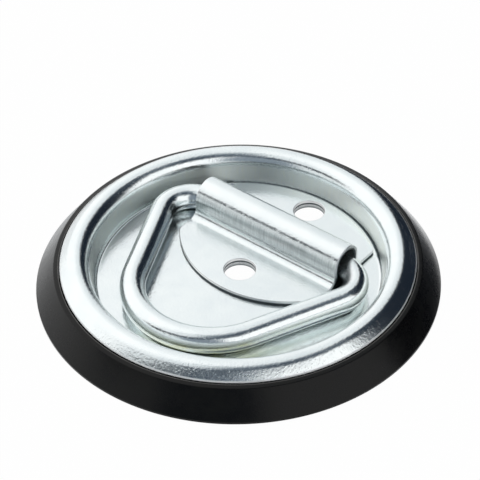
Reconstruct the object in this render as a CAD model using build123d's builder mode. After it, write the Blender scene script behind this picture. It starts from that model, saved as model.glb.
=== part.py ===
"""Surface mounted lashing dish: pressed pan, saddle strap, folding D ring and rubber surround.

Row frame, millimetres: the mounting face is z = 0 and the dish axis is the Z axis. The back bar of
the ring runs along X, the bow of the ring lies towards -Y and the bolt holes are in line along Y.
"""
import os
from math import cos, radians, sin, tan

from build123d import *

os.makedirs("parts", exist_ok=True)

# Dish: one pressed pan, sizes of its upper surface
sheet = 1.5            # steel sheet of the dish
crease_r = 44.2        # where the floor and the wall would meet without the bend
crease_bend = 1.0      # bend between floor and wall
wall_lean = 11.2       # degrees from upright
bead_r = 4.0           # rounding over the top of the bead
rim_run = 10.6         # crease to the outer edge of the skirt, measured level
rim_z = 8.84           # height of that edge
skirt_slope = 42.5     # degrees below level

# Bolt holes through strap and dish
hole_d = 10.0
hole_pitch = 35.6
rear_edge = 2.8        # rear hole to the crease
front_edge = 4.7       # front hole to the front edge of the strap

# D ring: round bar, sizes along its centre line
bar_d = 8.0
bar_run_gap = 0.3      # free space before and behind the back bar and under it
ring_bend_r = 9.4      # centre line of the bends
leg_lean = 24.6        # degrees that each leg closes in
side_room = 8.3        # half width of the ring to the crease
bow_room = 7.7         # bow to the crease

# Saddle strap: one pressed plate on the floor of the dish
strap_sheet = 1.5
strap_gap = 0.2        # rear edge to the bend of the floor
end_cover = 1.1        # the hump reaches this far over the bends of the ring
front_bow = 13.5       # the front edge is an arc that comes forward this much
front_corner_r = 3.0
rear_corner_r = 0.8
bar_play = 2.5         # free height over the back bar
root_bend = 3.0        # concave bend at the foot of the hump

# Rubber surround
foot_h = 0.8           # upright foot of the cone
cone_run = 5.9         # foot to lip, measured level
land_w = 1.55          # lip to the groove for the skirt
lip_drop = 0.44        # lip below the edge of the skirt
lip_round = 0.6
land_rise = 0.3        # the land rises this much towards the dish
groove_gap = 0.25      # round the edge of the skirt
seat_gap = 0.2         # under the skirt
seat_inset = 0.31      # inner edge of the seat to the start of the bead


def up_slope(degrees):
    """Rise of a line for each millimetre outwards."""
    return tan(radians(degrees))


# Dish outline: wall line and skirt line meet above the bead
wall_rise = up_slope(90 - wall_lean)
skirt_fall = up_slope(skirt_slope)
rim_r = crease_r + rim_run
peak_run = (rim_z - sheet + skirt_fall * rim_run) / (wall_rise + skirt_fall)
peak_r = crease_r + peak_run
peak_z = sheet + wall_rise * peak_run

hump_y = crease_r - rear_edge - (hole_d + hole_pitch) / 2
hole_places = ((0, hump_y - hole_pitch / 2), (0, hump_y + hole_pitch / 2))

with BuildPart() as dish:
    with BuildSketch(Plane.XZ):
        with BuildLine():
            FilletPolyline(
                (0, sheet),
                (crease_r, sheet),
                (peak_r, peak_z),
                (rim_r, rim_z),
                radius=(crease_bend, bead_r),
            )
            offset(amount=sheet, side=Side.RIGHT)
        make_face()
    revolve(axis=Axis.Z)
    with Locations(*hole_places):
        Hole(hole_d / 2)

# Ring: closed centre line, legs tangent to the bends and to the bow
bar_z = sheet + bar_run_gap + bar_d / 2
ring_reach = hump_y + crease_r - bow_room
bend_x = crease_r - side_room - ring_bend_r
lean = radians(leg_lean)
leg_offset = bend_x * cos(lean) + ring_bend_r * sin(lean) + ring_bend_r
bow_r = (leg_offset - ring_reach * sin(lean)) / (1 - sin(lean))
bow_y = bow_r - ring_reach

with BuildPart() as ring:
    with BuildLine(Plane.XY.offset(bar_z).move(Location((0, hump_y, 0)))) as ring_path:
        half_bar = Line((0, 0), (bend_x, 0))
        bend = JernArc(half_bar @ 1, half_bar % 1, ring_bend_r, -(90 + leg_lean))
        leg = Line(bend @ 1, (bow_r * cos(lean), bow_y - bow_r * sin(lean)))
        JernArc(leg @ 1, leg % 1, bow_r, leg_lean - 90)
        mirror(about=Plane.YZ)
    with BuildSketch(Plane(origin=(0, hump_y, bar_z), z_dir=(1, 0, 0))):
        Circle(bar_d / 2)
    sweep()

# Strap: section of the underside across the hump, thickened upwards, cut to its outline
strap_half = bend_x + end_cover
bore_r = bar_d / 2 + bar_run_gap
spring_z = bar_z + bar_d / 2 + bar_play - bore_r
hump_top = spring_z + bore_r + strap_sheet
under_bend = root_bend + strap_sheet
strap_rear_r = crease_r - crease_bend * up_slope(45 - wall_lean / 2) - strap_gap
strap_front_y = hump_y - (hole_d + hole_pitch) / 2 - front_edge

with BuildPart() as strap:
    with BuildSketch(Plane.YZ.offset(-strap_half)):
        with BuildLine():
            front_flange = Line(
                (strap_front_y - strap_sheet, sheet),
                (hump_y - bore_r - under_bend, sheet),
            )
            front_root = JernArc(front_flange @ 1, front_flange % 1, under_bend, 90)
            front_flank = Line(front_root @ 1, (hump_y - bore_r, spring_z))
            crown = JernArc(front_flank @ 1, front_flank % 1, bore_r, -180)
            rear_flank = Line(crown @ 1, (hump_y + bore_r, sheet + under_bend))
            rear_root = JernArc(rear_flank @ 1, rear_flank % 1, under_bend, 90)
            Line(rear_root @ 1, (strap_rear_r + strap_sheet, sheet))
            offset(amount=strap_sheet, side=Side.LEFT)
        make_face()
    extrude(amount=2 * strap_half)
    with BuildSketch(Plane.XY.offset(sheet)) as strap_plan:
        with BuildLine():
            front_arc = ThreePointArc(
                (-strap_half, strap_front_y + front_bow),
                (0, strap_front_y),
                (strap_half, strap_front_y + front_bow),
            )
            Polyline(
                front_arc @ 1,
                (strap_half, rim_r),
                (-strap_half, rim_r),
                front_arc @ 0,
            )
        make_face()
        Circle(strap_rear_r, mode=Mode.INTERSECT)
        rear_corners = strap_plan.vertices().group_by(Axis.Y)[-1]
        fillet(rear_corners, rear_corner_r)
        front_corners = strap_plan.vertices().group_by(Axis.Y)[0]
        fillet(front_corners, front_corner_r)
    extrude(amount=hump_top, mode=Mode.INTERSECT)
    with Locations(*hole_places):
        Hole(hole_d / 2)

# Rubber surround: its seat runs parallel to the underside of the skirt
groove_r = rim_r + groove_gap
lip_r = groove_r + land_w
lip_z = rim_z - lip_drop
base_r = lip_r + cone_run
skirt_normal = radians(skirt_slope)
seat_drop = (sheet + seat_gap) / cos(skirt_normal)
bead_run = bead_r * up_slope((90 - wall_lean + skirt_slope) / 2) * cos(skirt_normal)
seat_r = peak_r + bead_run - sheet * sin(skirt_normal) + seat_inset
groove_z = rim_z - skirt_fall * (groove_r - rim_r) - seat_drop
seat_top_z = rim_z - skirt_fall * (seat_r - rim_r) - seat_drop

with BuildPart() as rubber_surround:
    with BuildSketch(Plane.XZ) as rubber_section:
        with BuildLine():
            Polyline(
                (seat_r, 0),
                (base_r, 0),
                (base_r, foot_h),
                (lip_r, lip_z),
                (groove_r, lip_z + land_rise),
                (groove_r, groove_z),
                (seat_r, seat_top_z),
                close=True,
            )
        make_face()
        lip = rubber_section.vertices().sort_by_distance((lip_r, 0, lip_z))[0]
        fillet(lip, lip_round)
    revolve(axis=Axis.Z)

dish.part.label = "dish"
strap.part.label = "strap"
ring.part.label = "ring"
rubber_surround.part.label = "rubber_surround"

export_step(dish.part, "parts/dish.step")
export_step(strap.part, "parts/strap.step")
export_step(ring.part, "parts/ring.step")
export_step(rubber_surround.part, "parts/rubber_surround.step")
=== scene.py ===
"""Look of the surface mounted lashing dish: zinc plated pressings, folding D ring, rubber surround.

Blender works in metres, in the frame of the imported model: the mounting face is z = 0 and the dish
axis is the Z axis. The sizes in the classes below are millimetres, as on a workshop drawing.
"""
import logging
from dataclasses import dataclass, field
from enum import Enum
from math import atan2, cos, pi, radians, sin, sqrt, tan
from typing import Any

import bmesh
import bpy
from mathutils import Matrix, Vector


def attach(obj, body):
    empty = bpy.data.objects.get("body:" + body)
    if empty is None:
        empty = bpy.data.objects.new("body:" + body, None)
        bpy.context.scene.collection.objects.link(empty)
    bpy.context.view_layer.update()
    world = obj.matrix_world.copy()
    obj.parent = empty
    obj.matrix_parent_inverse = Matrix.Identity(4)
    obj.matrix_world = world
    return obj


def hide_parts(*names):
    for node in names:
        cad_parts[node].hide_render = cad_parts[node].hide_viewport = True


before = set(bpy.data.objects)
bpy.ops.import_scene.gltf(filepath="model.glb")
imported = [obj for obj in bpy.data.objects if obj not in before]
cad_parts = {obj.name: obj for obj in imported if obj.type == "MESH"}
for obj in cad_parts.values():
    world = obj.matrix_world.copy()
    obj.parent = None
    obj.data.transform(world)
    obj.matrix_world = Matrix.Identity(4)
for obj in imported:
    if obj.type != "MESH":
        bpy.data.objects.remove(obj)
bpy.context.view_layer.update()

log = logging.getLogger("lashing_dish")

MM = 0.001
Place = tuple[float, float]
Point = tuple[float, float, float]
Colour = tuple[float, float, float, float]
Material = bpy.types.Material
Node = bpy.types.Node
Piece = bpy.types.Object
Socket = bpy.types.NodeSocket
Tree = bpy.types.NodeTree

SOCKET_KINDS = {float: "NodeSocketFloat", int: "NodeSocketInt", tuple: "NodeSocketVector",
                Material: "NodeSocketMaterial"}


class Body(Enum):
    """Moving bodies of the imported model."""

    BASE = "base"
    RING = "ring"


class Slot(Enum):
    """Material slots of the record."""

    ZINC = "zinc_plate"
    RUBBER = "rubber"


class Marks(Enum):
    """Which way the fine tool marks of a metal piece run."""

    AROUND_AXIS = "drawn down the wall of the pan"
    ACROSS_PLATE = "drawn over the hump"
    BAR = "rolled and bent bar"


def linear(code: str) -> Colour:
    """Turns an sRGB hex colour to linear light.

    Args:
        code: Six hex digits, red green blue.

    Returns:
        Linear red, green, blue and an alpha of one.
    """
    parts = [int(code[i:i + 2], 16) / 255 for i in (0, 2, 4)]
    light = [p / 12.92 if p <= 0.04045 else ((p + 0.055) / 1.055) ** 2.4 for p in parts]
    return (light[0], light[1], light[2], 1.0)


def add(tree: Tree, kind: str, links: dict[Any, Any] | None = None, **settings: Any) -> Node:
    """Adds a node with its settings and links.

    Args:
        tree: Tree that gets the node.
        kind: Type of the node.
        links: Input name or number, to its value or to the socket that feeds it. A node stands
            for its first output.
        settings: Properties of the node itself.

    Returns:
        The new node.
    """
    node = tree.nodes.new(kind)
    for name, value in settings.items():
        setattr(node, name, value)
    for key, source in (links or {}).items():
        if isinstance(source, Node):
            source = source.outputs[0]
        if isinstance(source, Socket):
            tree.links.new(source, node.inputs[key])
        else:
            node.inputs[key].default_value = source
    return node


def blank_material(name: str) -> tuple[Material, Tree]:
    """Makes a material without nodes.

    Args:
        name: Name of the material.

    Returns:
        The material and its empty tree.
    """
    material = bpy.data.materials.new(name)
    material.use_nodes = True
    material.node_tree.nodes.clear()
    return material, material.node_tree


def put_in_scene(data: bpy.types.ID) -> Piece:
    """Puts a mesh, a lamp or a camera in the scene.

    Args:
        data: What the object holds.

    Returns:
        The object, under the same name.
    """
    piece = bpy.data.objects.new(data.name, data)
    bpy.context.collection.objects.link(piece)
    return piece


@dataclass(frozen=True)
class Corner:
    """Corner of a section or of a centre line, in millimetres.

    Attributes:
        across: Distance from the axis, or the first coordinate.
        up: Height, or the second coordinate.
        rounding: Radius that rounds the corner.
        cut: One on the burnished part of a sheared edge, and on a rubbed lip.
        torn_and_shaded: One on its broken part, which is also darkened as painted shade.
        drawn: One where the sheet was drawn over the die.
    """

    across: float
    up: float
    rounding: float = 0.0
    cut: float = 0.0
    torn_and_shaded: float = 0.0
    drawn: float = 0.0


def outline(name: str, runs: list[tuple[list[Corner], bool, float]]) -> Piece:
    """Makes an object that holds only outlines, for a node tree to work on.

    Args:
        name: Name of the object.
        runs: For each outline its corners, whether it is closed, and what is taken off its
            distance from the axis.

    Returns:
        The object, with the values of each corner as attributes.
    """
    points: list[Point] = []
    edges: list[tuple[int, int]] = []
    values: dict[str, list[float]] = {"rounding": [], "cut": [], "torn_and_shaded": [], "drawn": [],
                                      "outline": []}
    for number, (corners, closed, shift) in enumerate(runs):
        first = len(points)
        points += [((c.across - shift) * MM, c.up * MM, 0.0) for c in corners]
        values["rounding"] += [c.rounding * MM for c in corners]
        values["outline"] += [float(number)] * len(corners)
        for title in ("cut", "torn_and_shaded", "drawn"):
            values[title] += [getattr(c, title) for c in corners]
        edges += [(i, i + 1) for i in range(first, len(points) - 1)]
        if closed:
            edges.append((len(points) - 1, first))
    mesh = bpy.data.meshes.new(name)
    mesh.from_pydata(points, edges, [])
    for title, numbers in values.items():
        mesh.attributes.new(title, "FLOAT", "POINT").data.foreach_set("value", numbers)
    return put_in_scene(mesh)


def new_tree(name: str, values: dict[str, Any]) -> Node:
    """Starts a geometry node tree with a named input for each value.

    Args:
        name: Name of the tree.
        values: Name of each input, to the value that it will get.

    Returns:
        Its group input node.
    """
    tree = bpy.data.node_groups.new(name, "GeometryNodeTree")
    tree.interface.new_socket("Geometry", in_out="INPUT", socket_type="NodeSocketGeometry")
    for title, value in values.items():
        tree.interface.new_socket(title, in_out="INPUT", socket_type=SOCKET_KINDS[type(value)])
    tree.interface.new_socket("Geometry", in_out="OUTPUT", socket_type="NodeSocketGeometry")
    return tree.nodes.new("NodeGroupInput")


def form(piece: Piece, entry: Node, made: Node, values: dict[str, Any]) -> None:
    """Ends a tree and gives an object the plain closed mesh that it makes, faces outwards.

    Args:
        piece: Object with the outlines, which keeps no modifier.
        entry: Group input node of the tree.
        made: Node that gives the whole form.
        values: Value of each named input.
    """
    tree = entry.id_data
    real = add(tree, "GeometryNodeRealizeInstances", {"Geometry": made})
    dressed = add(tree, "GeometryNodeSetMaterial",
                  {"Geometry": real, "Material": entry.outputs["Finish"]})
    add(tree, "NodeGroupOutput", {0: dressed})
    modifier = piece.modifiers.new(tree.name, "NODES")
    modifier.node_group = tree
    for item in tree.interface.items_tree:
        if item.in_out == "INPUT" and item.name in values:
            modifier[item.identifier] = values[item.name]
    depsgraph = bpy.context.evaluated_depsgraph_get()
    mesh = bpy.data.meshes.new_from_object(piece.evaluated_get(depsgraph))
    piece.modifiers.remove(modifier)
    piece.data = mesh
    shell = bmesh.new()
    shell.from_mesh(mesh)
    bmesh.ops.remove_doubles(shell, verts=shell.verts, dist=2e-6)
    bmesh.ops.recalc_face_normals(shell, faces=shell.faces)
    shell.to_mesh(mesh)
    shell.free()


def rounded(entry: Node, number: float) -> Node:
    """Adds the nodes that pick one outline and round its corners.

    Args:
        entry: Group input node of the tree.
        number: Number of the outline.

    Returns:
        The node that gives the curve.
    """
    tree = entry.id_data
    mark = add(tree, "GeometryNodeInputNamedAttribute", {"Name": "outline"}, data_type="FLOAT")
    same = add(tree, "FunctionNodeCompare", {0: mark, 1: number, "Epsilon": 0.4},
               data_type="FLOAT", operation="EQUAL")
    run = add(tree, "GeometryNodeMeshToCurve",
              {"Mesh": entry.outputs["Geometry"], "Selection": same})
    radius = add(tree, "GeometryNodeInputNamedAttribute", {"Name": "rounding"}, data_type="FLOAT")
    return add(tree, "GeometryNodeFilletCurve",
               {"Curve": run, "Count": entry.outputs["Steps in a bend"],
                "Radius": radius}, mode="POLY")


def turned(entry: Node, number: float, radius: str, steps: str) -> Node:
    """Adds the nodes that turn one rounded outline about the Z axis.

    Args:
        entry: Group input node of the tree.
        number: Number of the outline, which is measured from the path.
        radius: Name of the input with the radius of the path.
        steps: Name of the input with the steps round.

    Returns:
        The node that gives the smooth mesh.
    """
    tree = entry.id_data
    path = add(tree, "GeometryNodeCurvePrimitiveCircle",
               {"Resolution": entry.outputs[steps], "Radius": entry.outputs[radius]})
    flipped = add(tree, "GeometryNodeTransform",
                  {"Geometry": rounded(entry, number), "Scale": (1, -1, 1)})
    mesh = add(tree, "GeometryNodeCurveToMesh", {"Curve": path, "Profile Curve": flipped})
    return add(tree, "GeometryNodeSetShadeSmooth", {"Geometry": mesh})


@dataclass(frozen=True)
class BrightZinc:
    """Electroplated bright zinc with a clear blue passivation over cold formed steel.

    It is a pale, faintly blue mirror that the fine grain of the steel below breaks up: broad
    soft highlights with a speckled edge, and nearly black where it meets a dark part of the room.

    Attributes:
        name: Name of the finish.
        marks: Which way the tool marks run.
        light: Colour of the plating.
        shade: Colour of its duller clouds.
        warm: Colour of its yellow tinge.
        burnished: Colour of the burnished part of a sheared edge.
        torn_and_shaded: Colour of the broken part of a sheared edge: dull broken steel, darker also
            as painted shade where the edge meets what lies under it.
        scored: Colour of the scores where the sheet was drawn over the die.
        gloss: Roughness of the clean plating.
        dull: Roughness of its duller clouds.
        mark_rough: What a tool mark adds to the roughness.
        torn_rough: What the broken part of a sheared edge adds to it.
        cut_rough: What the burnished part adds to it.
        scored_rough: What the scores add to it.
        grain_mm: Width of the grain of the steel.
        grain_depth_mm: Depth of that grain.
        pit_mm: Width of the sparse pits of the plating.
        pit_depth_mm: Depth of those pits.
        mark_mm: Width of a tool mark.
        mark_depth_mm: Depth of the tool marks.
        mark_r: Radius at which the marks down a turned wall have that width.
        wall_run: Widths of a mark for each millimetre down that wall.
        plate_run: The same along a plate.
        wave_mm: Width of the slow waves that pressing leaves.
        wave_depth_mm: Depth of those waves.
        cloud_mm: Width of the duller clouds.
        tinge_way: Direction in which the yellow tinge lies.
        tinge_reach_mm: Distance that way where the tinge starts and where it is full.
        tinge_height_mm: Height above which there is no tinge, and below which it is full.
        tinge: Share of the warm colour where it is full.
    """

    name: str
    marks: Marks
    light: str = "F4F9F9"
    shade: str = "EFF5F6"
    warm: str = "EDEAC0"
    burnished: str = "F2F3F3"
    # Dull broken steel, darker also as painted shade where a cut edge meets what lies under it
    torn_and_shaded: str = "7C8285"
    scored: str = "CDD3D3"
    gloss: float = 0.14
    dull: float = 0.18
    mark_rough: float = 0.05
    torn_rough: float = 0.35
    cut_rough: float = 0.60
    scored_rough: float = 0.12
    grain_mm: float = 0.75
    grain_depth_mm: float = 0.034
    pit_mm: float = 0.60
    pit_depth_mm: float = 0.016
    mark_mm: float = 0.30
    mark_depth_mm: float = 0.003
    mark_r: float = 47.0
    wall_run: float = 0.22
    plate_run: float = 0.12
    wave_mm: float = 7.0
    wave_depth_mm: float = 0.007
    cloud_mm: float = 9.0
    tinge_way: Point = (0.5, -0.87, 0.0)
    tinge_reach_mm: Place = (28.0, 42.0)
    tinge_height_mm: Place = (7.5, 3.5)
    tinge: float = 0.6

    def mark_place(self, tree: Tree, place: Node, split: Node) -> Node:
        """Adds the coordinates of the tool marks.

        Args:
            tree: Tree of the material.
            place: The place in millimetres.
            split: Node that splits it in X, Y and Z.

        Returns:
            The place in widths of a tool mark, and many times less along a mark.
        """
        if self.marks is Marks.AROUND_AXIS:
            level = add(tree, "ShaderNodeCombineXYZ", {0: split.outputs[0], 1: split.outputs[1]})
            unit = add(tree, "ShaderNodeVectorMath", {0: level}, operation="NORMALIZE")
            reach = add(tree, "ShaderNodeVectorMath", {0: level}, operation="LENGTH")
            spread = add(tree, "ShaderNodeVectorMath",
                         {0: unit, "Scale": self.mark_r / self.mark_mm}, operation="SCALE")
            down = add(tree, "ShaderNodeMath", {0: reach.outputs["Value"], 1: self.wall_run},
                       operation="MULTIPLY")
            lift = add(tree, "ShaderNodeMath", {0: split.outputs[2], 1: self.wall_run, 2: down},
                       operation="MULTIPLY_ADD")
            both = add(tree, "ShaderNodeCombineXYZ", {2: lift})
            return add(tree, "ShaderNodeVectorMath", {0: spread, 1: both}, operation="ADD")
        stretch = {
            Marks.ACROSS_PLATE: (1 / self.mark_mm, self.plate_run, self.plate_run),
            Marks.BAR: (0.5 / self.mark_mm, 0.5 / self.mark_mm, 1 / self.mark_mm),
        }[self.marks]
        return add(tree, "ShaderNodeVectorMath", {0: place, 1: stretch}, operation="MULTIPLY")

    def patterns(self, tree: Tree, place: Node, along: Node) -> dict[str, Node]:
        """Adds the noises of the finish.

        Args:
            tree: Tree of the material.
            place: The place in millimetres.
            along: The place in widths of a tool mark.

        Returns:
            Name of each pattern, to its strength.
        """
        found = {}
        for name, spot, width, detail, roughness, span in (
                # Duller clouds that the passivation bath leaves
                ("clouds", place, self.cloud_mm, 4.0, 0.62, (0.38, 0.66)),
                # Patches of the yellow tinge
                ("tinge", place, self.cloud_mm, 2.0, 0.5, (0.36, 0.58)),
                # Tool marks, drawn the way the metal ran through the die
                ("marks", along, 1.0, 3.0, 0.7, (0.3, 0.7)),
                # Grain of the cold rolled steel, coarser than life so that it shows as speckle
                ("grain", place, self.grain_mm, 1.0, 0.4, None),
                # Sparse pits of the plating, also coarser than life, that glint in the dark
                ("pits", place, self.pit_mm, 1.0, 0.5, (0.60, 0.74)),
                # Slow waves that pressing leaves in the sheet
                ("waves", place, self.wave_mm, 1.5, 0.5, None)):
            pattern = add(tree, "ShaderNodeTexNoise",
                          {"Vector": spot, "Scale": 1 / width, "Detail": detail,
                           "Roughness": roughness})
            if span:
                pattern = add(tree, "ShaderNodeMapRange", {0: pattern, 1: span[0], 2: span[1]})
            found[name] = pattern
        return found

    def material(self) -> Material:
        """Makes the material.

        Returns:
            The finished material.
        """
        material, tree = blank_material(self.name)
        coordinates = add(tree, "ShaderNodeTexCoord")
        place = add(tree, "ShaderNodeVectorMath",
                    {0: coordinates.outputs["Object"], "Scale": 1 / MM}, operation="SCALE")
        split = add(tree, "ShaderNodeSeparateXYZ", {0: place})
        pattern = self.patterns(tree, place, self.mark_place(tree, place, split))
        worked = {name: add(tree, "ShaderNodeAttribute", attribute_name=name).outputs["Fac"]
                  for name in ("cut", "torn_and_shaded", "drawn")}

        # Faint yellow in patches, far out one way and low down
        slope = add(tree, "ShaderNodeVectorMath", {0: place, 1: self.tinge_way},
                    operation="DOT_PRODUCT")
        out_that_way = add(tree, "ShaderNodeMapRange",
                      {0: slope.outputs["Value"], 1: self.tinge_reach_mm[0], 2: self.tinge_reach_mm[1]})
        low_down = add(tree, "ShaderNodeMapRange",
                     {0: split.outputs[2], 1: self.tinge_height_mm[0], 2: self.tinge_height_mm[1], 4: self.tinge})
        tinged = pattern["tinge"]
        for share in (out_that_way, low_down):
            tinged = add(tree, "ShaderNodeMath", {0: tinged, 1: share}, operation="MULTIPLY")

        # Scores where the metal ran hardest; a sheared edge is bright above and broken below, its
        # broken part dull steel darkened also as painted shade where it meets what lies under it
        streaks = add(tree, "ShaderNodeMath", {0: pattern["marks"], 1: worked["drawn"]},
                      operation="MULTIPLY")
        colour: Any = linear(self.light)
        for share, tone in ((pattern["clouds"], self.shade), (tinged, self.warm),
                            (streaks, self.scored), (worked["cut"], self.burnished),
                            (worked["torn_and_shaded"], self.torn_and_shaded)):
            colour = add(tree, "ShaderNodeMix", {0: share, 6: colour, 7: linear(tone)},
                         data_type="RGBA").outputs[2]
        rough = add(tree, "ShaderNodeMapRange",
                    {0: pattern["clouds"], 3: self.gloss, 4: self.dull})
        for share, rise in ((pattern["marks"], self.mark_rough), (worked["torn_and_shaded"], self.torn_rough),
                            (worked["cut"], self.cut_rough),
                            (worked["drawn"], self.scored_rough)):
            rough = add(tree, "ShaderNodeMath", {0: share, 1: rise, 2: rough},
                        operation="MULTIPLY_ADD")

        relief: dict[str, Node] = {}
        for name, depth in (("waves", self.wave_depth_mm), ("marks", self.mark_depth_mm),
                            ("grain", self.grain_depth_mm), ("pits", self.pit_depth_mm)):
            bump = add(tree, "ShaderNodeBump",
                       {"Strength": 1.0, "Distance": depth * MM, "Height": pattern[name],
                        **relief})
            relief = {"Normal": bump}
        surface = add(tree, "ShaderNodeBsdfPrincipled",
                      {"Base Color": colour, "Metallic": 1.0, "Roughness": rough, **relief})
        add(tree, "ShaderNodeOutputMaterial", {"Surface": surface})
        return material


@dataclass(frozen=True)
class MouldedRubber:
    """Black rubber, compression moulded in a blasted tool.

    It is matt and nearly black, with a fine even grain, faint clouds where the surface has
    bloomed, and a sheen at a flat angle.

    Attributes:
        name: Name of the finish.
        black: Colour of the clean rubber.
        bloom: Colour where it has bloomed.
        rubbed: Colour of the lip, which handling rubs grey.
        grain_mm: Width of the blasted grain, coarser than life so that it shows.
        grain_depth_mm: Depth of that grain.
        flow_mm: Width of the slow waves that the rubber keeps from flowing in the mould.
        flow_depth_mm: Depth of those waves.
        cloud_mm: Width of the bloomed clouds.
        fresh: Roughness of the clean rubber.
        dusty: Roughness where it has bloomed.
    """

    name: str
    black: str = "060607"
    bloom: str = "0E0E0C"
    rubbed: str = "5A5856"
    grain_mm: float = 0.7
    grain_depth_mm: float = 0.015
    flow_mm: float = 4.0
    flow_depth_mm: float = 0.03
    cloud_mm: float = 6.0
    fresh: float = 0.24
    dusty: float = 0.36

    def material(self) -> Material:
        """Makes the material.

        Returns:
            The finished material.
        """
        material, tree = blank_material(self.name)
        coordinates = add(tree, "ShaderNodeTexCoord")
        place = add(tree, "ShaderNodeVectorMath",
                    {0: coordinates.outputs["Object"], "Scale": 1 / MM}, operation="SCALE")
        clouds, flow, grain = (
            add(tree, "ShaderNodeTexNoise",
                {"Vector": place, "Scale": 1 / width, "Detail": detail,
                 "Roughness": roughness})
            for width, detail, roughness in (
                (self.cloud_mm, 6.0, 0.65), (self.flow_mm, 2.0, 0.5), (self.grain_mm, 3.0, 0.7)))
        cloud = add(tree, "ShaderNodeMapRange", {0: clouds, 1: 0.38, 2: 0.68})
        edge = add(tree, "ShaderNodeAttribute", attribute_name="cut").outputs["Fac"]
        colour: Any = linear(self.black)
        for share, tone in ((cloud, self.bloom), (edge, self.rubbed)):
            colour = add(tree, "ShaderNodeMix", {0: share, 6: colour, 7: linear(tone)},
                         data_type="RGBA").outputs[2]
        slow_relief = add(tree, "ShaderNodeBump",
                          {"Strength": 1.0, "Distance": self.flow_depth_mm * MM, "Height": flow})
        relief = add(tree, "ShaderNodeBump",
                     {"Strength": 1.0, "Distance": self.grain_depth_mm * MM,
                      "Height": grain, "Normal": slow_relief})
        rough = add(tree, "ShaderNodeMapRange", {0: cloud, 3: self.fresh, 4: self.dusty})

        # The bloom is a waxy film: next to no gloss from above and a grey sheen at a flat angle
        surface = add(tree, "ShaderNodeBsdfPrincipled",
                      {"Base Color": colour, "Roughness": rough, "IOR": 1.52,
                       "Specular IOR Level": 0.14, "Sheen Weight": 1.0, "Sheen Roughness": 0.22,
                       "Coat Weight": 1.0, "Coat Roughness": 0.20, "Coat IOR": 1.16,
                       "Normal": relief})
        add(tree, "ShaderNodeOutputMaterial", {"Surface": surface})
        return material


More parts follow.
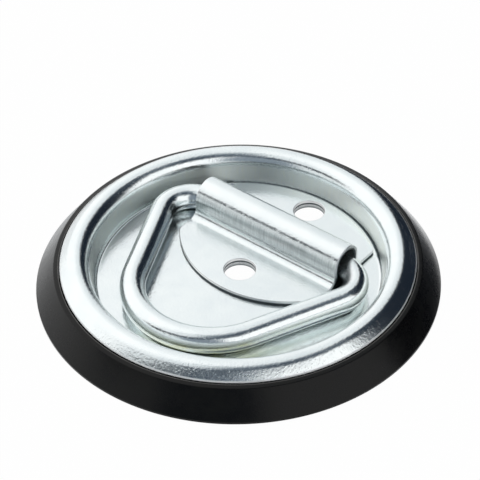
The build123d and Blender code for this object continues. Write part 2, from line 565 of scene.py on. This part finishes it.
@dataclass
class PressedDish:
    """The pan: floor, leaning wall, rolled bead and sloping skirt, pressed from one sheet."""

    sheet: float = 1.5
    crease_r: float = 44.2
    crease_bend: float = 1.0
    wall_lean: float = 11.2
    bead_r: float = 4.0
    rim_r: float = 54.8
    rim_z: float = 8.84
    skirt_slope: float = 42.5
    hole_r: float = 5.0
    hole_pitch: float = 35.6
    hump_y: float = 18.6
    floor_r: float = 42.6
    edge_round: float = 0.35
    drawn_from: float = 1.0
    drawn_to: float = 7.6
    drawn_fade: float = 1.2
    sheared_run: float = 0.7
    steps_round: int = 288
    steps_in_bend: int = 14
    steps_round_hole: int = 72
    # Bright zinc on steel that the die scored down its wall
    finish: BrightZinc = BrightZinc("bright_zinc_on_pressed_pan", Marks.AROUND_AXIS,
                                    scored="F4F8F0", scored_rough=0.24)

    def section(self) -> list[Corner]:
        """Follows the wall section, from the floor over the bead to the rim and back below.

        Returns:
            Its corners.
        """
        wall = radians(90 - self.wall_lean)
        skirt = radians(self.skirt_slope)
        run = ((self.rim_z - self.sheet + tan(skirt) * (self.rim_r - self.crease_r))
               / (tan(wall) + tan(skirt)))
        peak = (self.crease_r + run, self.sheet + tan(wall) * run)
        turn = (wall + skirt) / 2
        inner = (peak[0] + self.sheet / cos(turn) * sin((wall - skirt) / 2),
                 peak[1] - self.sheet / cos(turn) * cos((wall - skirt) / 2))
        under = (self.rim_r - self.sheet * sin(skirt), self.rim_z - self.sheet * cos(skirt))
        back = (self.sheared_run * cos(skirt), self.sheared_run * sin(skirt))
        drawn = [(self.drawn_from, 0.0), (self.drawn_from + self.drawn_fade, 1.0),
                 (self.drawn_to - self.drawn_fade, 1.0), (self.drawn_to, 0.0)]
        return [
            Corner(self.floor_r, self.sheet),
            Corner(self.crease_r, self.sheet, self.crease_bend),
            *(Corner(self.crease_r + length * cos(wall), self.sheet + length * sin(wall),
                     drawn=share) for length, share in drawn),
            Corner(*peak, self.bead_r),
            Corner(self.rim_r - back[0], self.rim_z + back[1]),
            Corner(self.rim_r, self.rim_z, self.edge_round, 1.0),
            # Lower corner of the rim: broken steel, darkened also as painted shade in the groove of
            # the rubber
            Corner(*under, self.edge_round, 0.0, 1.0),
            Corner(under[0] - back[0], under[1] + back[1]),
            Corner(*inner, self.bead_r - self.sheet),
            Corner(self.crease_r + self.sheet * tan(wall / 2), 0.0,
                   self.crease_bend + self.sheet),
            Corner(self.floor_r, 0.0),
        ]

    def hole_section(self) -> list[Corner]:
        """Follows the edge of a punched hole.

        Returns:
            Its corners.
        """
        rest = self.hole_r + 2 * self.edge_round
        return [
            Corner(rest, self.sheet),
            Corner(self.hole_r, self.sheet, self.edge_round, 1.0),
            # Lower edge of the hole: broken steel, darkened also as painted shade where it meets
            # the surface below
            Corner(self.hole_r, 0.0, self.edge_round, 0.0, 1.0),
            Corner(rest, 0.0),
        ]

    def pan(self, entry: Node) -> Node:
        """Adds the nodes that turn the pan and lay its pierced floor.

        Args:
            entry: Group input node of the tree.

        Returns:
            The node that joins them.
        """
        tree, value = entry.id_data, entry.outputs
        wall = turned(entry, 0.0, "Path radius", "Steps round")
        collar = turned(entry, 1.0, "Hole radius", "Steps round a hole")
        holes = add(tree, "GeometryNodeMeshLine",
                    {"Count": 2, "Start Location": value["First hole"],
                     "Offset": value["Hole pitch"]})
        collars = add(tree, "GeometryNodeInstanceOnPoints", {"Points": holes, "Instance": collar})
        rest = add(tree, "GeometryNodeCurvePrimitiveCircle",
                   {"Resolution": value["Steps round a hole"],
                    "Radius": value["Hole rest radius"]})
        rests = add(tree, "GeometryNodeInstanceOnPoints", {"Points": holes, "Instance": rest})
        rim = add(tree, "GeometryNodeCurvePrimitiveCircle",
                  {"Resolution": value["Steps round"], "Radius": value["Floor radius"]})
        loops = add(tree, "GeometryNodeJoinGeometry", {0: rim})
        tree.links.new(rests.outputs[0], loops.inputs[0])
        real = add(tree, "GeometryNodeRealizeInstances", {"Geometry": loops})
        under = add(tree, "GeometryNodeFillCurve", {"Curve": real})
        flat = add(tree, "GeometryNodeSetShadeSmooth", {"Geometry": under, "Shade Smooth": False})
        top = add(tree, "GeometryNodeTransform", {"Geometry": flat, "Translation": value["Sheet"]})
        joined = add(tree, "GeometryNodeJoinGeometry", {0: wall})
        for part in (collars, flat, top):
            tree.links.new(part.outputs[0], joined.inputs[0])
        return joined

    def build(self) -> Piece:
        """Makes the dish.

        Returns:
            The finished piece.
        """
        piece = outline("dish_pressing", [(self.section(), False, self.crease_r),
                                          (self.hole_section(), False, self.hole_r)])
        values = {
            "Path radius": self.crease_r * MM, "Steps round": self.steps_round,
            "Steps in a bend": self.steps_in_bend, "Floor radius": self.floor_r * MM,
            "Sheet": (0.0, 0.0, self.sheet * MM), "Hole radius": self.hole_r * MM,
            "Hole rest radius": (self.hole_r + 2 * self.edge_round) * MM,
            "First hole": (0.0, (self.hump_y - self.hole_pitch / 2) * MM, 0.0),
            "Hole pitch": (0.0, self.hole_pitch * MM, 0.0),
            "Steps round a hole": self.steps_round_hole, "Finish": self.finish.material()}
        entry = new_tree("pressed_pan", values)
        form(piece, entry, self.pan(entry), values)
        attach(piece, Body.BASE.value)
        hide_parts("dish")
        return piece


@dataclass
class SurroundMoulding:
    """Conical rubber ring that carries the skirt of the dish in a groove."""

    base_r: float = 62.5
    foot_h: float = 0.8
    foot_round: float = 0.3
    lip_r: float = 56.6
    lip_z: float = 8.4
    lip_round: float = 0.6
    land_rise: float = 0.3
    groove_r: float = 55.05
    groove_round: float = 0.12
    rim_r: float = 54.8
    rim_z: float = 8.84
    skirt_slope: float = 42.5
    sheet: float = 1.5
    seat_gap: float = 0.2
    seat_r: float = 51.6
    rubbed_run: float = 0.42
    crisp_angle: float = 25.0
    steps_round: int = 288
    steps_in_bend: int = 5
    # Black rubber, matt from the blasted mould
    finish: MouldedRubber = MouldedRubber("moulded_black_rubber")

    def section(self) -> list[Corner]:
        """Follows the moulded section.

        Returns:
            Its corners.
        """
        slope = radians(self.skirt_slope)
        drop = (self.sheet + self.seat_gap) / cos(slope)
        groove_z = self.rim_z - tan(slope) * (self.groove_r - self.rim_r) - drop
        seat_z = self.rim_z - tan(slope) * (self.seat_r - self.rim_r) - drop
        land = 1 - self.rubbed_run / (self.lip_r - self.groove_r)
        return [
            Corner(self.seat_r, 0.0),
            Corner(self.base_r, 0.0, self.foot_round / 2),
            Corner(self.base_r, self.foot_h, self.foot_round),
            Corner(self.lip_r, self.lip_z, self.lip_round),
            Corner(self.groove_r + self.rubbed_run, self.lip_z + self.land_rise * land),
            Corner(self.groove_r, self.lip_z + self.land_rise, self.groove_round, 1.0),
            Corner(self.groove_r, groove_z),
            Corner(self.seat_r, seat_z),
        ]

    def build(self) -> Piece:
        """Makes the surround.

        Returns:
            The finished piece.
        """
        piece = outline("surround_moulding", [(self.section(), True, self.groove_r)])
        values = {"Path radius": self.groove_r * MM, "Steps round": self.steps_round,
                  "Steps in a bend": self.steps_in_bend, "Finish": self.finish.material()}
        entry = new_tree("turned_moulding", values)
        form(piece, entry, turned(entry, 0.0, "Path radius", "Steps round"), values)
        piece.data.set_sharp_from_angle(angle=radians(self.crisp_angle))
        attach(piece, Body.BASE.value)
        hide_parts("rubber_surround")
        return piece


@dataclass
class FoldingRing:
    """D ring bent from one round bar: back bar, two bends, two legs and the bow."""

    bar_d: float = 8.0
    half: float = 35.9
    bend_r: float = 9.4
    reach: float = 55.1
    leg_lean: float = 24.6
    hump_y: float = 18.6
    bar_z: float = 5.8
    steps_in_bend: int = 48
    steps_round_bar: int = 72
    # Bright zinc on drawn bar, finer in grain than the sheet
    finish: BrightZinc = BrightZinc(
        "bright_zinc_on_bent_bar", Marks.BAR, grain_mm=0.7, grain_depth_mm=0.030,
        mark_depth_mm=0.002, gloss=0.13, dull=0.17)

    def centre_line(self) -> list[Corner]:
        """Follows the centre line: a triangle whose corners are rounded.

        Returns:
            Its corners, before rounding.
        """
        lean = radians(self.leg_lean)
        straight = self.half - self.bend_r
        corner = straight + self.bend_r * tan((pi / 2 + lean) / 2)
        offset = straight * cos(lean) + self.bend_r * (1 + sin(lean))
        bow = (offset - self.reach * sin(lean)) / (1 - sin(lean))
        return [
            Corner(corner, self.hump_y, self.bend_r),
            Corner(-corner, self.hump_y, self.bend_r),
            Corner(0.0, self.hump_y - corner / tan(lean), bow),
        ]

    def build(self) -> Piece:
        """Makes the ring.

        Returns:
            The finished piece.
        """
        piece = outline("d_ring", [(self.centre_line(), True, 0.0)])
        values = {"Bar radius": self.bar_d / 2 * MM, "Steps in a bend": self.steps_in_bend,
                  "Steps round the bar": self.steps_round_bar,
                  "Axis height": (0.0, 0.0, self.bar_z * MM), "Finish": self.finish.material()}
        entry = new_tree("bent_bar", values)
        tree, value = entry.id_data, entry.outputs
        bar = add(tree, "GeometryNodeCurvePrimitiveCircle",
                  {"Resolution": value["Steps round the bar"], "Radius": value["Bar radius"]})
        bent = add(tree, "GeometryNodeCurveToMesh",
                   {"Curve": rounded(entry, 0.0), "Profile Curve": bar})
        smooth = add(tree, "GeometryNodeSetShadeSmooth", {"Geometry": bent})
        placed = add(tree, "GeometryNodeTransform",
                     {"Geometry": smooth, "Translation": value["Axis height"]})
        form(piece, entry, placed, values)
        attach(piece, Body.RING.value)
        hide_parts("ring")
        return piece


@dataclass(frozen=True)
class Station:
    """Point on the cut edge of the flat blank: place and the direction into the metal."""

    across: float
    along: float
    in_across: float
    in_along: float


@dataclass
class SaddleStrap:
    """Plate with a pressed hump that holds the back bar of the ring, bolted through two holes.

    Attributes beside its sizes:
        tear: Share of the thickness where the burnished metal ends and the broken metal, darkened
            also as painted shade, starts.
        runs: Length and turn of each part of the section over the hump.
    """

    sheet: float = 1.5
    seat_z: float = 1.5
    half: float = 27.6
    front_y: float = -8.9
    front_bow: float = 13.5
    rear_r: float = 43.18
    front_corner_r: float = 3.0
    rear_corner_r: float = 0.8
    hump_y: float = 18.6
    hump_top: float = 13.8
    bore_r: float = 4.3
    root_bend: float = 3.0
    hole_r: float = 5.0
    hole_pitch: float = 35.6
    edge_round: float = 0.22
    edge_land: float = 0.15
    tear: Place = (0.50, 0.62)
    drawn_from: float = 4.4
    drawn_to: float = 10.6
    drawn_fade: float = 0.9
    margin: float = 0.3
    steps_round_hole: int = 72
    # Bright zinc on steel that the die scored over the hump, its broken edges darker also as
    # painted shade where the strap sits on the pan
    finish: BrightZinc = BrightZinc(
        "bright_zinc_on_formed_strap", Marks.ACROSS_PLATE, mark_mm=0.34, mark_depth_mm=0.004,
        torn_and_shaded="5A6063", cut_rough=0.15)
    runs: list[Place] = field(init=False)
    root_y: float = field(init=False)
    length: float = field(init=False)

    def __post_init__(self) -> None:
        """Works out the section over the hump."""
        crown_r = self.bore_r + self.sheet
        flank = self.hump_top - crown_r - self.seat_z - self.sheet - self.root_bend
        root = (pi / 2 * self.root_bend, pi / 2)
        self.runs = [root, (flank, 0.0), (pi * crown_r, -pi), (flank, 0.0), root]
        self.root_y = self.hump_y - crown_r - self.root_bend
        self.length = sum(run[0] for run in self.runs)

    def surface(self, along: float) -> Point:
        """Follows the upper surface.

        Args:
            along: Length along the sheet from the front root of the hump.

        Returns:
            Y, Z and heading there.
        """
        y, z, heading = self.root_y, self.seat_z + self.sheet, 0.0
        if along <= 0:
            return y + along, z, heading
        left = along
        for length, turn in self.runs:
            step = min(left, length)
            if turn:
                radius = length / turn
                swept = heading + step / radius
                y += radius * (sin(swept) - sin(heading))
                z += radius * (cos(heading) - cos(swept))
                heading = swept
            else:
                y += step * cos(heading)
                z += step * sin(heading)
            left -= step
            if left <= 0:
                return y, z, heading
        return y + left, z, 0.0

    def place(self, across: float, along: float, depth: float) -> Vector:
        """Puts a point of the flat blank, a depth below its upper side, on the strap in metres."""
        y, z, heading = self.surface(along)
        return Vector((across, y + depth * sin(heading), z - depth * cos(heading))) * MM

    def rows(self) -> list[float]:
        """Divides the sheet over the hump.

        Returns:
            Lengths along the sheet that have a row of points.
        """
        rows = [-self.margin]
        start = 0.0
        for length, turn in self.runs:
            steps = max(2, int(abs(turn) / radians(6)))
            rows += [start + length * i / steps for i in range(steps)]
            start += length
        return rows + [self.length, self.length + self.margin]

    def edge(self) -> list[Station]:
        """Follows the edge of the blank, anticlockwise from the middle of the front edge.

        Returns:
            Its stations.
        """
        front_r = (self.half**2 + self.front_bow**2) / (2 * self.front_bow)
        front_mid = self.front_y + front_r - self.root_y
        rear_mid = self.length - (2 * self.hump_y - self.root_y)
        front_x, rear_x = self.half - self.front_corner_r, self.half - self.rear_corner_r
        drop = sqrt((front_r - self.front_corner_r)**2 - front_x**2)
        rise = sqrt((self.rear_r - self.rear_corner_r)**2 - rear_x**2)
        front_turn, rear_turn = atan2(-drop, front_x), atan2(rise, rear_x)
        # Each arc goes without its last station
        arcs = [
            ((0.0, front_mid), front_r, -pi / 2, front_turn, 40),
            ((front_x, front_mid - drop), self.front_corner_r, front_turn, 0.0, 10),
            ((rear_x, rear_mid + rise), self.rear_corner_r, 0.0, rear_turn, 6),
            ((0.0, rear_mid), self.rear_r, rear_turn, pi / 2, 40),
        ]
        front, corner, rear_corner, rear = (
            [Station(centre[0] + radius * cos(angle), centre[1] + radius * sin(angle),
                     -cos(angle), -sin(angle))
             for angle in (begin + (end - begin) * i / steps for i in range(steps))]
            for centre, radius, begin, end, steps in arcs)
        side = [Station(self.half, row, -1.0, 0.0) for row in (front_mid - drop, *self.rows())]
        right = [*front, *corner, *side, *rear_corner, *rear,
                 Station(0.0, rear_mid + self.rear_r, 0.0, -1.0)]
        left = [Station(-s.across, s.along, -s.in_across, s.in_along)
                for s in reversed(right[1:-1])]
        return right + left

    def lip(self) -> list[Place]:
        """Follows the rounded profile of a cut edge.

        Returns:
            Inset and depth of its points, from top to bottom.
        """
        e = self.edge_round
        steps = [i * pi / 8 for i in range(5)]
        upper = [(e * (1 - sin(a)), e * (1 - cos(a))) for a in steps]
        lower = [(inset, self.sheet - depth) for inset, depth in reversed(upper)]
        middle = [(0.0, share * self.sheet) for share in self.tear]
        return ([(e + self.edge_land, 0.0)] + upper + middle + lower
                + [(e + self.edge_land, self.sheet)])

    def drawn(self, along: float) -> float:
        """Tells how hard the sheet was drawn over the die.

        Args:
            along: Length along the sheet from the front root of the hump.

        Returns:
            One on the front and rear wall of the hump, zero elsewhere.
        """
        near = min(along, self.length - along)
        inside = min(near - self.drawn_from, self.drawn_to - near)
        return min(1.0, max(0.0, inside / self.drawn_fade))

    def band(self, shell: bmesh.types.BMesh, stations: list[Station],
             layers: dict[str, Any]) -> list[list[bmesh.types.BMVert]]:
        """Makes the cut edge along a closed run of stations.

        Args:
            shell: Mesh being made.
            stations: The run.
            layers: Layers that mark the burnished, the torn and the drawn metal.

        Returns:
            The points of each station, from top to bottom.
        """
        profile = self.lip()
        columns = []
        for s in stations:
            column = []
            for inset, depth in profile:
                vert = shell.verts.new(self.place(
                    s.across + s.in_across * inset, s.along + s.in_along * inset, depth))
                share = depth / self.sheet
                edge = 1.0 if inset < self.edge_round * 0.8 else 0.0
                vert[layers["cut"]] = edge if share < self.tear[0] + 0.01 else 0.0
                # Lower part of the cut edge: broken steel, darkened also as painted shade where the
                # strap sits on the pan
                vert[layers["torn_and_shaded"]] = edge if share > self.tear[1] - 0.01 else 0.0
                vert[layers["drawn"]] = self.drawn(s.along)
                column.append(vert)
            columns.append(column)
        for one, other in zip(columns, columns[1:] + columns[:1]):
            for j in range(len(profile) - 1):
                shell.faces.new((one[j], other[j], other[j + 1], one[j + 1])).smooth = True
        return columns

    def shell(self) -> bmesh.types.BMesh:
        """Forms the strap: its cut edge, the hump from side to side and the two flanges.

        Returns:
            The closed mesh.
        """
        shell = bmesh.new()
        titles = ("cut", "torn_and_shaded", "drawn")
        for title in titles:
            shell.verts.layers.float.new(title)
        layers = {title: shell.verts.layers.float[title] for title in titles}
        stations = self.edge()
        columns = self.band(shell, stations, layers)
        total = len(stations)
        rows = self.rows()
        side = [i for i, s in enumerate(stations[:total // 2 + 1])
                if s.in_across == -1.0 and rows[0] - 1e-6 <= s.along <= rows[-1] + 1e-6]
        for level in (0, -1):
            for i, j in zip(side, side[1:]):
                shell.faces.new((columns[i][level], columns[j][level],
                                 columns[total - j][level],
                                 columns[total - i][level])).smooth = True
        front_hole = self.hump_y - self.hole_pitch / 2 - self.root_y
        flanges = (
            (front_hole, range(total - side[0], total + side[0] + 1)),
            (self.length - front_hole, range(side[-1], total - side[-1] + 1)),
        )
        for middle, span in flanges:
            turns = (2 * pi * i / self.steps_round_hole for i in range(self.steps_round_hole))
            ring = self.band(shell, [Station(self.hole_r * cos(a), self.hole_r * sin(a) + middle,
                                             cos(a), sin(a)) for a in turns], layers)
            for level in (0, -1):
                edges = []
                for loop in ([columns[i % total][level] for i in span],
                             [column[level] for column in ring]):
                    for a, b in zip(loop, loop[1:] + loop[:1]):
                        edges.append(shell.edges.get((a, b)) or shell.edges.new((a, b)))
                filled = bmesh.ops.triangle_fill(shell, use_beauty=True, edges=edges)
                for item in filled["geom"]:
                    if isinstance(item, bmesh.types.BMFace):
                        item.smooth = False
        bmesh.ops.recalc_face_normals(shell, faces=shell.faces)
        return shell

    def build(self) -> Piece:
        """Makes the strap.

        Returns:
            The finished piece.
        """
        shell = self.shell()
        mesh = bpy.data.meshes.new("saddle_strap")
        shell.to_mesh(mesh)
        shell.free()
        mesh.materials.append(self.finish.material())
        piece = put_in_scene(mesh)
        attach(piece, Body.BASE.value)
        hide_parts("strap")
        return piece


@dataclass(frozen=True)
class Panel:
    """Large soft edged panel of the room round the table, as seen from the fitting.

    Attributes:
        azimuth: Direction of its middle in degrees, from the X axis towards the Y axis.
        elevation: Height of its middle in degrees.
        half_width: Half its width in degrees.
        half_height: Half its height in degrees.
        lean: Degrees that it leans anticlockwise.
        softness: Share of its size over which its edge fades.
        tone: Its colour.
        level: Brightness, where one shows the colour as it is written.
    """

    azimuth: float
    elevation: float
    half_width: float
    half_height: float
    lean: float
    softness: float
    tone: str
    level: float = 1.0

    def paint(self, tree: Tree, level: Node, height: Node, behind: Any) -> Socket:
        """Adds the nodes that lay the panel over what is behind it.

        Args:
            tree: Tree of the world.
            level: Level part of the direction.
            height: Elevation of the direction in radians.
            behind: Colour behind the panel.

        Returns:
            The colour with the panel in place.
        """
        faced = add(tree, "ShaderNodeVectorRotate",
                    {"Vector": level, "Angle": -radians(self.azimuth)}, rotation_type="Z_AXIS")
        sides = add(tree, "ShaderNodeSeparateXYZ", {0: faced})
        aside = add(tree, "ShaderNodeMath", {0: sides.outputs[1], 1: sides.outputs[0]},
                    operation="ARCTAN2")
        raised = add(tree, "ShaderNodeMath", {0: height, 1: radians(self.elevation)},
                     operation="SUBTRACT")
        spot = add(tree, "ShaderNodeCombineXYZ", {0: aside, 1: raised})
        upright = add(tree, "ShaderNodeVectorRotate",
                      {"Vector": spot, "Angle": -radians(self.lean)}, rotation_type="Z_AXIS")
        share = add(tree, "ShaderNodeVectorMath", {0: upright,
                     1: (1 / radians(self.half_width), 1 / radians(self.half_height), 0.0)},
                    operation="MULTIPLY")
        squared = add(tree, "ShaderNodeVectorMath", {0: share, 1: share}, operation="MULTIPLY")
        reach = add(tree, "ShaderNodeVectorMath", {0: squared}, operation="LENGTH")
        cover = add(tree, "ShaderNodeMapRange",
                    {"Value": reach.outputs["Value"], "From Min": (1 + self.softness)**2,
                     "From Max": (1 - self.softness)**2}, interpolation_type="SMOOTHSTEP")
        tone = tuple(self.level * part for part in linear(self.tone)[:3]) + (1.0,)
        return add(tree, "ShaderNodeMix", {0: cover, 6: behind, 7: tone},
                   data_type="RGBA").outputs[2]


@dataclass
class Studio:
    """White table in a room of large soft panels, bright on the left and dark behind right.

    Its sizes are in metres, but for the lens, which is in millimetres.
    """

    wall: str = "E9EDEF"
    panels: tuple[Panel, ...] = (
        Panel(180, 33, 42, 44, 0, 0.55, "FFFFFF", 1.10),
        Panel(353, 21, 36, 42, 0, 0.30, "FFFFFF", 1.10),
        Panel(250, 14, 20, 22, 0, 0.35, "EBEEEF"),
        Panel(293, 5, 27, 50, 0, 0.30, "808A94"),
        Panel(345, 86, 100, 9, 0, 0.30, "ABB3B8"),
        Panel(354, 66, 70, 13.5, 0, 0.30, "5D6771"),
        Panel(2, 67, 28, 8.5, 0, 0.50, "414A55"),
        Panel(284, 50.5, 28, 5.5, 17, 0.40, "3D4651"),
        Panel(249, 35.5, 24, 6.0, 31, 0.40, "222B32"),
        Panel(61, 40, 30, 22, 22, 0.15, "343D47"),
        Panel(72, -18, 39, 64, 0, 0.10, "1A212B"),
    )
    table_half: float = 6.0
    table_drop: float = 0.0001
    seen_by_camera: float = 0.98
    seen_by_metal: float = 0.5
    cloth_degrees: tuple[int, int, int] = (10, 115, 8)
    cloth_reach: Place = (0.066, 2.5)
    view: Point = (0.4745, -0.5740, 0.6673)
    distance: float = 0.55
    roll: float = -0.0235
    lens: float = 133.06
    shift: Place = (0.0034, 0.0784)
    lamp_place: Point = (-0.75, 0.15, 1.05)
    lamp_size: Place = (0.9, 0.9)
    lamp_level: float = 0.9

    def sheet(self, name: str, corners: list[Point], material: Material) -> Piece:
        """Lays one flat face.

        Args:
            name: Name of the object.
            corners: Its corners.
            material: Its material.

        Returns:
            The object.
        """
        mesh = bpy.data.meshes.new(name)
        mesh.from_pydata(corners, [], [tuple(range(len(corners)))])
        mesh.materials.append(material)
        return put_in_scene(mesh)

    def floor(self) -> None:
        """Lays the pale floor, which the camera sees as white with the soft shadow kept."""
        # White laminate, matt
        material, tree = blank_material("white_table_laminate")
        matt = add(tree, "ShaderNodeBsdfDiffuse", {"Color": linear("F6F6F6")})
        glow = add(tree, "ShaderNodeEmission", {"Color": linear("FFFFFF"), "Strength": 1.0})
        rays = add(tree, "ShaderNodeLightPath")
        through = add(tree, "ShaderNodeMath",
                      {0: rays.outputs["Is Camera Ray"], 1: rays.outputs["Is Transmission Ray"]},
                      operation="MAXIMUM")
        seen = add(tree, "ShaderNodeMath", {0: through, 1: self.seen_by_camera},
                   operation="MULTIPLY")
        shone = add(tree, "ShaderNodeMath",
                    {0: rays.outputs["Is Glossy Ray"], 1: self.seen_by_metal, 2: seen},
                    operation="MULTIPLY_ADD", use_clamp=True)
        both = add(tree, "ShaderNodeMixShader", {0: shone, 1: matt, 2: glow})
        add(tree, "ShaderNodeOutputMaterial", {"Surface": both})
        h, z = self.table_half, -self.table_drop
        table = self.sheet("table", [(-h, -h, z), (h, -h, z), (h, h, z), (-h, h, z)], material)

    def table_cloth(self) -> None:
        """Lays a dark cloth on the table behind right, which only the metal sees."""
        # Dark blue felt
        material, tree = blank_material("dark_felt")
        felt = add(tree, "ShaderNodeBsdfDiffuse", {"Color": linear("222934")})
        add(tree, "ShaderNodeOutputMaterial", {"Surface": felt})
        sides = [radians(angle) for angle in range(*self.cloth_degrees)]
        near = [(self.cloth_reach[0] * cos(a), self.cloth_reach[0] * sin(a), 0.0) for a in sides]
        far = [(self.cloth_reach[1] * cos(a), self.cloth_reach[1] * sin(a), 0.0)
               for a in reversed(sides)]
        cloth = self.sheet("dark_cloth_on_table", near + far, material)
        for ray in ("camera", "diffuse", "transmission", "shadow"):
            setattr(cloth, f"visible_{ray}", False)

    def world(self) -> None:
        """Gives the room of soft panels that lights the fitting, with a white backdrop."""
        world = bpy.data.worlds.new("room_of_soft_panels")
        bpy.context.scene.world = world
        world.use_nodes = True
        tree = world.node_tree
        tree.nodes.clear()
        direction = add(tree, "ShaderNodeTexCoord")
        split = add(tree, "ShaderNodeSeparateXYZ", {0: direction.outputs["Generated"]})
        level = add(tree, "ShaderNodeCombineXYZ", {0: split.outputs[0], 1: split.outputs[1]})
        height = add(tree, "ShaderNodeMath", {0: split.outputs[2]}, operation="ARCSINE")
        colour: Any = linear(self.wall)
        for panel in self.panels:
            colour = panel.paint(tree, level, height, colour)
        room = add(tree, "ShaderNodeBackground", {"Color": colour})
        backdrop = add(tree, "ShaderNodeBackground", {"Color": linear("FFFFFF")})
        rays = add(tree, "ShaderNodeLightPath")
        clear = add(tree, "ShaderNodeMath",
                    {0: rays.outputs["Is Camera Ray"], 1: rays.outputs["Is Transmission Ray"]},
                    operation="MAXIMUM")
        mix = add(tree, "ShaderNodeMixShader", {0: clear, 1: room, 2: backdrop})
        add(tree, "ShaderNodeOutputWorld", {"Surface": mix})

    def lamp(self) -> None:
        """Hangs a soft box that points at the fitting, out of sight of the metal."""
        data = bpy.data.lights.new("soft_box_above_left", "AREA")
        data.shape = "RECTANGLE"
        data.size, data.size_y = self.lamp_size
        data.energy = self.lamp_level * pi * self.lamp_size[0] * self.lamp_size[1]
        lamp = put_in_scene(data)
        lamp.location = self.lamp_place
        lamp.rotation_euler = Vector(self.lamp_place).to_track_quat("Z", "Y").to_euler()
        lamp.visible_glossy = False

    def camera(self) -> None:
        """Sets the camera at the viewing angle of the photograph."""
        away = Vector(self.view).normalized()
        data = bpy.data.cameras.new("camera")
        data.lens = self.lens
        data.sensor_width = 36.0
        data.shift_x, data.shift_y = self.shift
        camera = put_in_scene(data)
        turn = away.to_track_quat("Z", "Y").to_matrix() @ Matrix.Rotation(self.roll, 3, "Z")
        camera.matrix_world = Matrix.Translation(away * self.distance) @ turn.to_4x4()
        bpy.context.scene.camera = camera

    def build(self) -> None:
        """Sets up floor, room, lamp and camera."""
        self.camera()
        self.floor()
        self.table_cloth()
        self.world()
        self.lamp()


def main() -> None:
    """Builds the fitting and the studio, and reports each piece."""
    logging.basicConfig(level=logging.INFO, format="%(name)s: %(message)s")
    bpy.context.scene.view_settings.view_transform = "Standard"
    for maker in (PressedDish(), SaddleStrap(), FoldingRing(), SurroundMoulding()):
        piece = maker.build()
        triangles = sum(len(face.vertices) - 2 for face in piece.data.polygons)
        size = [round(value / MM, 2) for value in piece.dimensions]
        log.info("%s: %d triangles, %s mm", piece.name, triangles, size)
    Studio().build()


if __name__ == "__main__":
    main()
